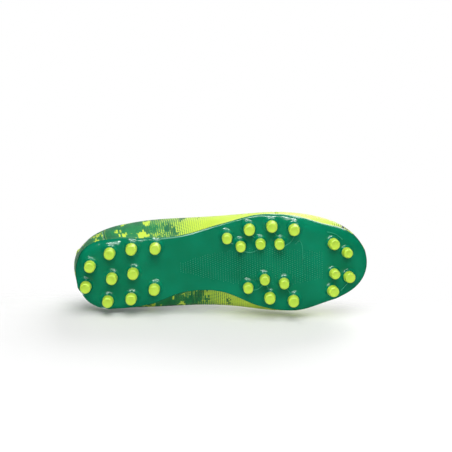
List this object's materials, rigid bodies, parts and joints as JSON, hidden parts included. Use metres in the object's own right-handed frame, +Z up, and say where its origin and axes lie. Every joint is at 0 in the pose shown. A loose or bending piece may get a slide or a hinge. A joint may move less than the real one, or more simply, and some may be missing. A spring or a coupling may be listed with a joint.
{
  "type": "soccer cleat",
  "caption": "Right-foot soccer boot with a moulded multi-stud sole plate, a coated knit upper, a laced throat with tongue and a padded collar.",
  "frame": {"origin": "centre of the boot's bounding box in plan, on the ground that the stud tips stand on", "axes": "+X to the toe, +Y to the medial (big toe) side, +Z up"},
  "size_m": [0.2902, 0.103, 0.1015],
  "materials": {
    "lime_stud": "satin",
    "green_plate": "gloss",
    "lime_upper": "satin coated knit",
    "eyestay_film": "matte",
    "stiffener": "matte",
    "green_lining": "knit mesh",
    "board": "pressed fibre",
    "knit_tongue": "knit",
    "lace_cord": "woven",
    "webbing": "woven"
  },
  "bodies": {
    "shoe": {"collar_lining": "green_lining", "eyestay_lateral": "eyestay_film", "eyestay_medial": "eyestay_film", "heel_counter": "stiffener", "heel_panel": "lime_upper", "insole_board": "board", "outsole_plate": "green_plate", "quarter_lateral": "lime_upper", "quarter_medial": "lime_upper", "shoelace": "lace_cord", "sock_liner": "green_lining", "stud_ball_01": "lime_stud", "stud_ball_02": "lime_stud", "stud_ball_03": "lime_stud", "stud_ball_04": "lime_stud", "stud_ball_05": "lime_stud", "stud_ball_06": "lime_stud", "stud_ball_07": "lime_stud", "stud_ball_08": "lime_stud", "stud_ball_09": "lime_stud", "stud_ball_10": "lime_stud", "stud_ball_11": "lime_stud", "stud_ball_12": "lime_stud", "stud_heel_01": "lime_stud", "stud_heel_02": "lime_stud", "stud_heel_03": "lime_stud", "stud_heel_04": "lime_stud", "stud_heel_05": "lime_stud", "stud_heel_06": "lime_stud", "stud_heel_07": "lime_stud", "stud_heel_08": "lime_stud", "stud_heel_09": "lime_stud", "stud_heel_10": "lime_stud", "stud_toe_01": "lime_stud", "stud_toe_02": "lime_stud", "stud_toe_03": "lime_stud", "stud_toe_04": "lime_stud", "stud_toe_05": "lime_stud", "toe_puff": "stiffener", "vamp": "lime_upper"},
    "tongue_body": {"tongue": "knit_tongue"},
    "tab_body": {"pull_tab": "webbing"}
  },
  "joints": [
    {"name": "tongue_hinge", "type": "hinge", "parent": "shoe", "child": "tongue_body", "pos_m": [0.03357, 0.00575, 0.06], "axis": [0, 1, 0], "range_deg": [-7, 0]},
    {"name": "pull_tab_hinge", "type": "hinge", "parent": "shoe", "child": "tab_body", "pos_m": [-0.14073, 0.00575, 0.0778], "axis": [0, 1, 0], "range_deg": [-60, 5]}
  ]
}
